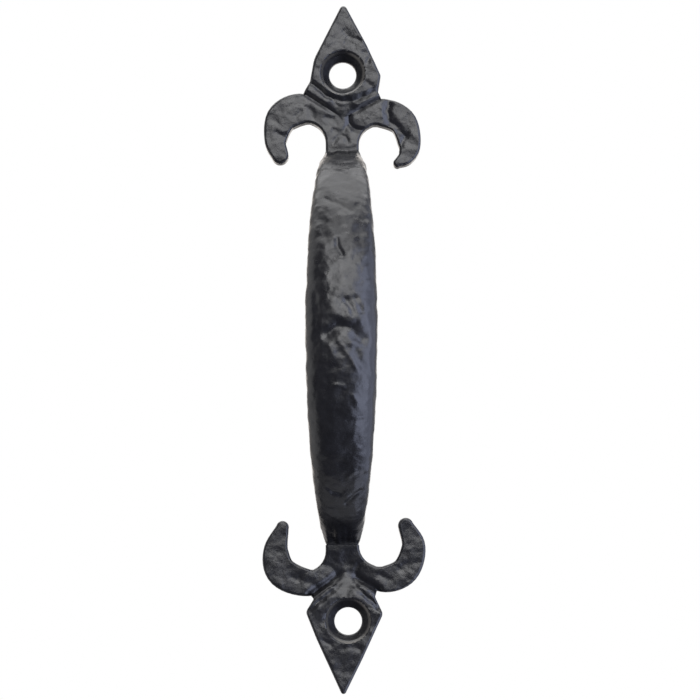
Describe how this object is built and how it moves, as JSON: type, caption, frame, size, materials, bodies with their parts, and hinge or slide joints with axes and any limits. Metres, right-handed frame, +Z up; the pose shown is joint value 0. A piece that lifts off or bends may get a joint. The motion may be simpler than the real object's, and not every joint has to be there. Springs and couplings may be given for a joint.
{
  "type": "pull handle",
  "caption": "Bowed iron pull handle with a fleur-de-lis end above and below, each with a countersunk screw hole in its spearhead.",
  "frame": {"origin": "on the door face of the handle, midway between the axes of the two screw holes", "axes": "+Z up along the handle through both screw holes, -Y out of the door towards the hand, +X to the right seen from the front"},
  "size_m": [0.0356, 0.0327, 0.1515],
  "materials": {
    "black_iron": "hammered, satin black enamel"
  },
  "bodies": {
    "root": {"grip_bar": "black_iron", "upper_spearhead": "black_iron", "upper_left_horn": "black_iron", "upper_right_horn": "black_iron", "upper_neck": "black_iron", "lower_spearhead": "black_iron", "lower_left_horn": "black_iron", "lower_right_horn": "black_iron", "lower_neck": "black_iron"}
  },
  "joints": []
}
